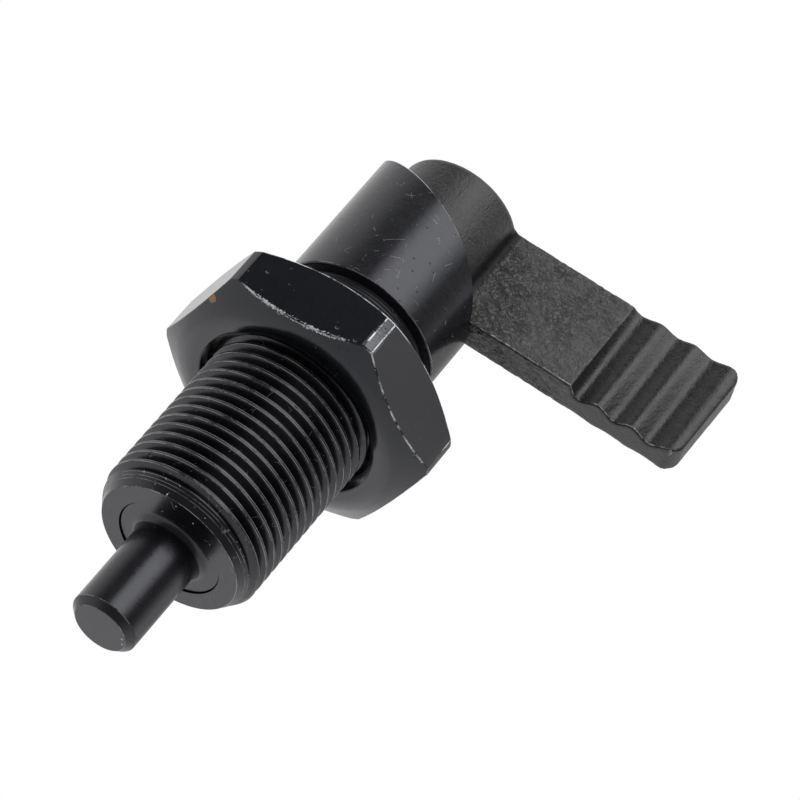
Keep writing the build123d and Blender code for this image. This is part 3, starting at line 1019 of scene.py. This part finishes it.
# %% Nut's profile
NUT_LENGTH = 9.0
NUT_TURN = 7.7           # degrees, from +X to a corner
NUT_ROUND = 1.4          # the front face rounds into its cone over this much on either side
ROUND_STEPS = 8
NUT_MOUTH_R = 11.3
NUT_BORE_R = 10.06
NUT_EDGE_BREAK = 0.11
NUT_WORN = 1             # the material slot of the nut's worn edges


def nut_profile(angle):
    """Once round the ring that the nut is cut from, the same at every angle."""
    rear = -NUT_LENGTH
    mouth_depth = NUT_MOUTH_R - NUT_BORE_R
    slope = NUT_DROP / (NUT_CORNER_R - NUT_FACE_R)
    round_face = []
    for step in range(ROUND_STEPS + 1):
        share = step / ROUND_STEPS
        round_face.append((NUT_FACE_R + NUT_ROUND * (2 * share - 1), -NUT_ROUND * slope * share * share))
    return [
        (NUT_MOUTH_R, 0),
        *round_face,
        (NUT_CORNER_R, -NUT_DROP), (NUT_CORNER_R, rear + NUT_DROP),
        (NUT_FACE_R, rear), (NUT_MOUTH_R, rear),
        (NUT_BORE_R, rear + mouth_depth), (NUT_BORE_R, -mouth_depth),
    ]


print("cone drops", NUT_DROP, "mm to the corners")

# %% Hexagon bar
def prism(name, across_flats, turn, bottom, top):
    """A six-sided bar between two heights, all in mm."""
    form = bmesh.new()
    corner = across_flats / math.sqrt(3) * MM
    turns = [math.radians(turn + 60 * side) for side in range(6)]
    rings = [
        [form.verts.new((corner * math.cos(a), corner * math.sin(a), z * MM)) for a in turns]
        for z in (bottom, top)
    ]
    for side in range(6):
        after = (side + 1) % 6
        form.faces.new((rings[0][side], rings[0][after], rings[1][after], rings[1][side]))
    form.faces.new(rings[1])
    form.faces.new(rings[0][::-1])
    mesh = bpy.data.meshes.new(name)
    form.to_mesh(mesh)
    form.free()
    return mesh


bar = linked("hex bar", prism("hex bar", NUT_FLATS, NUT_TURN, -NUT_LENGTH - 1, 1))
print("hexagon bar:", NUT_FLATS, "mm across its flats")

# %% Nut
ring = piece("hex_lock_nut", spun("nut ring", nut_profile, 192), [nut_steel, nut_wear])
nut = combined(ring, bar, "INTERSECT")
edge_break = nut.modifiers.new("edge break", "BEVEL")
edge_break.width = NUT_EDGE_BREAK * MM
edge_break.segments = 2
edge_break.limit_method = "ANGLE"
edge_break.angle_limit = math.radians(20)
edge_break.use_clamp_overlap = False
edge_break.material = NUT_WORN
nut = settled(nut)
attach(nut, "nut")
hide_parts("lock_nut")
print("nut:", len(nut.data.polygons), "faces")

# %% [markdown]
# ## The casting's skin
#
# The lever is an investment casting: a round boss, and a flat arm that ends in finger ridges.
# Its broad flat has flaked, pitted skin, while fingers have rubbed the ridges darker and
# smoother. Noise with its ends pressed flat leaves plates with pits between them. The plates
# are bump, the deepest pits are also real hollows, which come in the next step, and the same
# noise finds both, so that the hollows shine less. The corner of flat and boss gets a painted
# shade: it shines less too.

# %% Sizes and colours of the skin
PIT_SIZE = 1.1                   # of the noise behind the pits
PIT_FLOOR, PIT_RIM = 0.42, 0.5   # that noise, where a pit is at its deepest and where it ends
PATCH_SIZE = 3.2                 # of the noise that makes some places smoother than others
PATCH_LOW, PATCH_HIGH = 0.38, 0.58
FLAT_X = (8.0, 22.5)             # from the boss to the ridges
FADING_X = (12.0, 22.0)          # the pits fade towards the ridges
BOSS_X = (7.6, 8.3)              # stretches where one kind of skin goes over into another
GRIP_X = (22.7, 23.2)
ARM_ROOT_X, ARM_FRONT_Z = (7.8, 8.2), (-22.25, -22.1)
CORNER_X, CORNER_Y = (6.9, 7.9), (2.05, 3.4)         # where a painted shade darkens the corner of flat and boss
FRONT_LINE_Z, FRONT_LINE_Y = (-22.22, -22.12), (0.2, 3.0)
FLAT_END_X, FLAT_END_Y = (22.95, 23.0), (1.8, 3.0)
LINES_X = (8.5, 37.0)
PLATES, STREAKS, FINE_GRAIN = (0.65, 0.15), (0.4, 0.06), (0.32, 0.06)  # (size, depth)
CAST_DARK, CAST_LIGHT = (0.0075, 0.0075, 0.008), (0.0155, 0.0155, 0.0155)
FLAKED = (0.052, 0.052, 0.05)
RUBBED_DARK = (0.003, 0.003, 0.0035)
WORN_LINE = (0.45, 0.45, 0.45)
FLAT_SOFT = 0.6
STRETCH = (1, 1, 0.25)           # draws a noise out along the axis
print("pits about", PIT_SIZE, "mm wide, in patches of about", PATCH_SIZE, "mm")

# %% Places on the casting
def band(tree, value, low_mm, high_mm, soft_mm=0.08):
    """1 where the value lies between two places, with soft ends."""
    rise = over(tree, value, (low_mm - soft_mm, low_mm))
    fall = over(tree, value, (high_mm, high_mm + soft_mm), 1.0, 0.0)
    return product(tree, rise, fall)


def pitted_share(tree, place, x):
    """How strongly the skin is pitted: on the flat only, in patches, and less near the ridges."""
    patches = between(tree, grain(tree, place, PATCH_SIZE), PATCH_LOW, PATCH_HIGH, 0.5, 1.0)
    fading = over(tree, x, FADING_X, 1.0, 0.45)
    return product(tree, band(tree, x, *FLAT_X, FLAT_SOFT), product(tree, patches, fading))


def fingered(tree, x, z):
    """Where hands have rubbed the casting darker: on the ridges and the arm's front edge."""
    front = product(tree, over(tree, z, ARM_FRONT_Z), over(tree, x, ARM_ROOT_X))
    return product(tree, calc(tree, "MAXIMUM", over(tree, x, GRIP_X), front), 0.75)


def wear_lines(tree, place, x, y, z):
    """Broken light lines: along the arm's front edge, and where the flat ends."""
    front_edge = product(tree, band(tree, z, *FRONT_LINE_Z, 0.06), band(tree, y, *FRONT_LINE_Y))
    flat_end = product(tree, band(tree, x, *FLAT_END_X, 0.05), band(tree, y, *FLAT_END_Y))
    line = calc(tree, "MAXIMUM", front_edge, product(tree, flat_end, 0.35))
    broken = between(tree, grain(tree, place, 1.3, detail=5.0, roughness=0.8), 0.42, 0.68)
    return product(tree, line, broken, band(tree, x, *LINES_X))


print("places:", [made.__name__ for made in (pitted_share, fingered, wear_lines)])

# %% Lever's skin
def dull_pits_and_corner_shade(tree, place, x, y, pitted):
    """What takes the shine off: the pits shine less, and a painted shade darkens the corner of flat and
    boss.
    """
    pits = grain(tree, place, PIT_SIZE, detail=3.0, roughness=0.6)
    hollows = between(tree, pits, PIT_FLOOR, PIT_RIM, 1.0, 0.0)
    # painted shade: the corner of flat and boss loses its shine
    corner = product(tree, band(tree, x, *CORNER_X, 0.3), band(tree, y, *CORNER_Y, 0.2))
    return calc(tree, "MAXIMUM", corner, product(tree, hollows, pitted, 0.6))


def skin_relief(tree, place, x, pitted):
    """Bump layers: flaked plates on the flat, streaks on the boss, and a fine grain all over."""
    plates = between(tree, grain(tree, place, PLATES[0], detail=4.0, roughness=0.65), 0.42, 0.56)
    stretched = add(tree, "ShaderNodeVectorMath", {0: place, 1: STRETCH}, operation="MULTIPLY").outputs[0]
    streaks = grain(tree, stretched, STREAKS[0], detail=4.0, roughness=0.65)
    on_boss = over(tree, x, BOSS_X, 1.0, 0.0)
    fine = grain(tree, place, FINE_GRAIN[0], detail=3.0, roughness=0.7)
    return [
        (product(tree, plates, pitted), PLATES[1]),
        (product(tree, streaks, on_boss), STREAKS[1]),
        (fine, FINE_GRAIN[1]),
    ]


def cast_skin(name):
    """The whole finish of the casting, from the places and the relief above."""
    material, tree, shader, place = metal(name, 0.0)
    x, y, z = xyz(tree, place)
    cloud = grain(tree, place, 2.2, detail=4.0, roughness=0.6)
    pitted = pitted_share(tree, place, x)
    rubbed = fingered(tree, x, z)
    colour = blend(tree, between(tree, cloud, *NOISE_SPAN), CAST_DARK, CAST_LIGHT)
    colour = blend(tree, product(tree, band(tree, x, *FLAT_X, FLAT_SOFT), 0.7), colour, FLAKED)
    colour = blend(tree, rubbed, colour, RUBBED_DARK)
    colour = blend(tree, wear_lines(tree, place, x, y, z), colour, WORN_LINE)
    rough = calc(tree, "MULTIPLY_ADD", rubbed, -0.08, between(tree, cloud, *NOISE_SPAN, 0.27, 0.4))
    # the specular level falls in the pits and under the painted shade in the corner of flat and boss
    shine = calc(tree, "MULTIPLY_ADD", dull_pits_and_corner_shade(tree, place, x, y, pitted), -0.4, 0.5)
    tree.links.new(colour, shader.inputs["Base Color"])
    tree.links.new(rough, shader.inputs["Roughness"])
    tree.links.new(bumps(tree, skin_relief(tree, place, x, pitted)), shader.inputs["Normal"])
    tree.links.new(shine, shader.inputs["Specular IOR Level"])
    return material


lever_skin = cast_skin("cast lever skin")
print("skin:", lever_skin.name)

# %% [markdown]
# ## The cast lever
#
# Nothing on a casting is quite sharp or quite flat. A copy of the CAD solid is remade out of
# small cubes (a voxel remesh), which rounds its edges a little, as the wax and the slurry do.
# Geometry Nodes then push the skin inwards by noise, most on the broad flat, and never
# outwards, so that the lever stays inside its solid.

# %% The pitting tree
PIT_DEPTH = 0.06
PIT_INPUTS = {
    "Geometry": "Geometry", "Depth": "Float", "Scale": "Float", "Patch scale": "Float",
    "Grip start": "Float", "Boss end": "Float", "Material": "Material",
}
GRIP_PITTED, GRIP_FADE = 0.25, 1.0   # the share of the depth there, and the mm that it fades over
BOSS_PITTED, BOSS_FADE = 0.2, 2.0
SMOOTH_PITTED = 0.6


def pitted_tree(name):
    """Moves a mesh's points inwards by noise, less on the boss and beyond the grip's start."""
    tree = bpy.data.node_groups.new(name, "GeometryNodeTree")
    sockets = named_inputs(tree, PIT_INPUTS)
    given = tree.nodes.new("NodeGroupInput").outputs
    place = add(tree, "GeometryNodeInputPosition").outputs[0]
    across = xyz(tree, place)["X"]
    noise = {"Vector": place, "Scale": given["Scale"], "Detail": 3.0, "Roughness": 0.6}
    pits = add(tree, "ShaderNodeTexNoise", noise).outputs[0]
    patch_noise = {"Vector": place, "Scale": given["Patch scale"], "Detail": 2.0}
    patches = add(tree, "ShaderNodeTexNoise", patch_noise).outputs[0]
    grip_full = calc(tree, "ADD", given["Grip start"], GRIP_FADE * MM)
    on_flat = between(tree, across, given["Grip start"], grip_full, 1.0, GRIP_PITTED)
    past_boss = calc(tree, "ADD", given["Boss end"], BOSS_FADE * MM)
    off_boss = between(tree, across, given["Boss end"], past_boss, BOSS_PITTED, 1.0)
    pitted = between(tree, patches, PATCH_LOW, PATCH_HIGH, SMOOTH_PITTED, 1.0)
    deep = between(tree, pits, PIT_FLOOR, PIT_RIM, -1.0, 0.0)
    height = product(tree, deep, pitted, given["Depth"])
    moved = product(tree, height, product(tree, on_flat, off_boss))
    normal = add(tree, "GeometryNodeInputNormal").outputs[0]
    push = add(tree, "ShaderNodeVectorMath", {0: normal, "Scale": moved}, operation="SCALE").outputs[0]
    pushed = add(tree, "GeometryNodeSetPosition", {"Geometry": given["Geometry"], "Offset": push})
    end_tree(tree, pushed.outputs[0], given["Material"])
    return tree, sockets


skin_tree, skin_sockets = pitted_tree("cast skin")
print("pitting tree:", len(skin_tree.nodes), "nodes")

# %% [markdown]
# ## Casting it
#
# The modifiers run in the order in which they are added: small cubes, soft edges, pits. The CAD
# solid comes with separate corners for each face, so they are merged first, or the remesh would
# see open edges.

# %% Lever
VOXEL = 0.175
SOFTEN_SHARE, SOFTEN_ROUNDS = 0.5, 3
GRIP_START_X = 22.6
BOSS_END_X = 7.5

solid = bmesh.new()
solid.from_mesh(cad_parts["lever"].data)
bmesh.ops.remove_doubles(solid, verts=solid.verts, dist=1e-6)
bmesh.ops.recalc_face_normals(solid, faces=solid.faces)
lever_mesh = bpy.data.meshes.new("cast_lever")
solid.to_mesh(lever_mesh)
solid.free()
lever_mesh.materials.clear()
lever = piece("cast_lever", lever_mesh, [lever_skin])
remesh = lever.modifiers.new("small cubes", "REMESH")
remesh.mode = "VOXEL"
remesh.voxel_size = VOXEL * MM
soften = lever.modifiers.new("soft edges", "SMOOTH")
soften.factor = SOFTEN_SHARE
soften.iterations = SOFTEN_ROUNDS
run_on(lever, "cast skin", skin_tree, skin_sockets, {
    "Depth": PIT_DEPTH * MM,
    "Scale": 1 / (PIT_SIZE * MM),
    "Patch scale": 1 / (PATCH_SIZE * MM),
    "Grip start": GRIP_START_X * MM,
    "Boss end": BOSS_END_X * MM,
    "Material": lever_skin,
})
lever = settled(lever)
print("lever:", len(lever.data.polygons), "faces")

# %% [markdown]
# ## Room for the sleeve
#
# The boss turns in the sleeve's rear bore, and the bore's rim lies close in front of the arm.
# The remesh has filled the corner between boss and arm a little, and there the two would touch.
# So a plain ring is taken out of that corner again. The whole lever is shaded smooth in the
# end, since a casting has no sharp edge.

# %% Lever's corner
ROOM_INNER_R, ROOM_OUTER_R = REAR_BORE_R - 0.03, 10.5
ROOM_REAR_Z, ROOM_FRONT_Z = SEAT_Z - 0.08, -15.0


def ring_mesh(name, inner_r, outer_r, rear_z, front_z, columns):
    """A plain ring with a rectangular section, in mm."""
    section = [(inner_r, rear_z), (outer_r, rear_z), (outer_r, front_z), (inner_r, front_z)]
    return spun(name, lambda angle: section, columns)


room_mesh = ring_mesh("room for the sleeve", ROOM_INNER_R, ROOM_OUTER_R, ROOM_REAR_Z, ROOM_FRONT_Z, 96)
lever = combined(lever, piece("room for the sleeve", room_mesh, [lever_skin]), "DIFFERENCE")
lever.data.set_sharp_from_angle(angle=math.radians(180))
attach(lever, "plunger")
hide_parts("lever")
print("lever with room for the sleeve:", len(lever.data.polygons), "faces")

# %% [markdown]
# ## Spring steel
#
# The spring is hidden inside, and the cross pin shows only when the lever is turned, but each
# has its finish. Drawn wire is bright steel with faint clouds. The cross pin is the same steel,
# darker from hardening.

# %% Spring steel
def spring_finish(name, dark, light):
    """Bare hardened steel, cloudy between two greys."""
    material, tree, shader, place = metal(name, 1.0)
    cloud = grain(tree, place, 1.2, detail=3.0)
    scratch = grain(tree, place, 0.12)
    tree.links.new(blend(tree, between(tree, cloud, *NOISE_SPAN), dark, light), shader.inputs["Base Color"])
    tree.links.new(between(tree, scratch, *NOISE_SPAN, 0.28, 0.42), shader.inputs["Roughness"])
    tree.links.new(bumps(tree, [(scratch, 0.002)]), shader.inputs["Normal"])
    return material


wire_steel = spring_finish("spring wire", (0.22, 0.22, 0.23), (0.32, 0.32, 0.33))
spring_pin_steel = spring_finish("spring pin", (0.12, 0.12, 0.12), (0.2, 0.2, 0.19))
print("spring steels:", wire_steel.name, "/", spring_pin_steel.name)

# %% [markdown]
# ## The spring
#
# The spring comes out of the same helix tree as the thread, with a round wire for its profile.
# Its ends are ground flat: a ring keeps only what lies between the two walls it bears on.

# %% Spring
SPRING_REAR_Z, SPRING_FRONT_Z = -11.65, 14.05
COIL_R = 5.4
WIRE_R = 0.6
COIL_TURNS = 7.5
WIRE_SIDES, COIL_STEPS = 16, 64
ROOM_INSIDE, ROOM_OUTSIDE = 1.2, 0.9  # what the ring leaves on either side of the coil's middle

length = SPRING_FRONT_Z - SPRING_REAR_Z
wire_tree, wire_sockets = helix_tree(
    "spring wire", "GeometryNodeCurvePrimitiveCircle",
    {"Wire radius": "Radius"}, {"Resolution": WIRE_SIDES}, mode="RADIUS",
)
wire_mesh = grown("return_spring", wire_tree, wire_sockets, {
    "Radius": COIL_R * MM,
    "Height": length * MM,
    "Turns": COIL_TURNS,
    "Steps per turn": COIL_STEPS,
    "Start height": SPRING_REAR_Z * MM,
    "Start angle": 0.0,
    "Material": wire_steel,
    "Wire radius": WIRE_R * MM,
})
spring = piece("return_spring", wire_mesh, [wire_steel])
walls_mesh = ring_mesh(
    "between walls", COIL_R - ROOM_INSIDE, COIL_R + ROOM_OUTSIDE, SPRING_REAR_Z, SPRING_FRONT_Z, 48,
)
spring = combined(spring, piece("between walls", walls_mesh, [wire_steel]), "INTERSECT")
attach(spring, "sleeve")
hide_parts("compression_spring")
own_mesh(spring)
print("spring:", len(spring.data.polygons), "faces")

# %% [markdown]
# ## The cross pin
#
# The cross pin is a rolled spring pin, driven through the boss and the pin's stem. Its CAD shape
# is right already, slot and all, so it stays and only gets its finish.

# %% Cross pin
cross_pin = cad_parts["cross_pin"]
for slot in cross_pin.material_slots:
    slot.material = spring_pin_steel
print("cross pin:", [slot.material.name for slot in cross_pin.material_slots])
